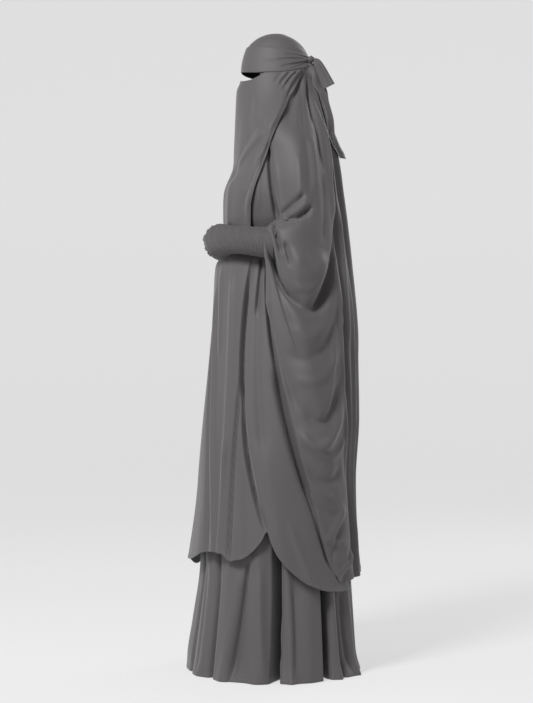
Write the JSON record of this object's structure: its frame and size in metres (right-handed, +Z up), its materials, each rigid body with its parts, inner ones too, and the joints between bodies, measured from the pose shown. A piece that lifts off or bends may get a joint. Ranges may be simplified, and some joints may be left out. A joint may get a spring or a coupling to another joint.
{
  "type": "two-piece jilbab with face veil",
  "caption": "Worn hollow jilbab: hooded cape with tied band, face veil and smocked cuffs over a gathered floor-length skirt.",
  "frame": {"origin": "inside top of the hood, where the head carries the garment", "axes": "+Z up, front of the garment faces -Y, the wearer's left is +X"},
  "size_m": [0.5655, 0.4797, 1.7202],
  "materials": {
    "crepe": "matt crepe with a soft lustre",
    "smocked_crepe": "elastic smocked crepe"
  },
  "bodies": {
    "root": {"hood_crown": "crepe", "headband": "crepe", "band_knot": "crepe", "tie_short": "crepe", "tie_long": "crepe", "face_veil": "crepe", "cape_front": "crepe", "cape_back": "crepe", "cuff_left": "smocked_crepe", "cuff_right": "smocked_crepe", "skirt_front": "crepe", "skirt_back": "crepe", "skirt_waistband": "crepe"}
  },
  "joints": []
}
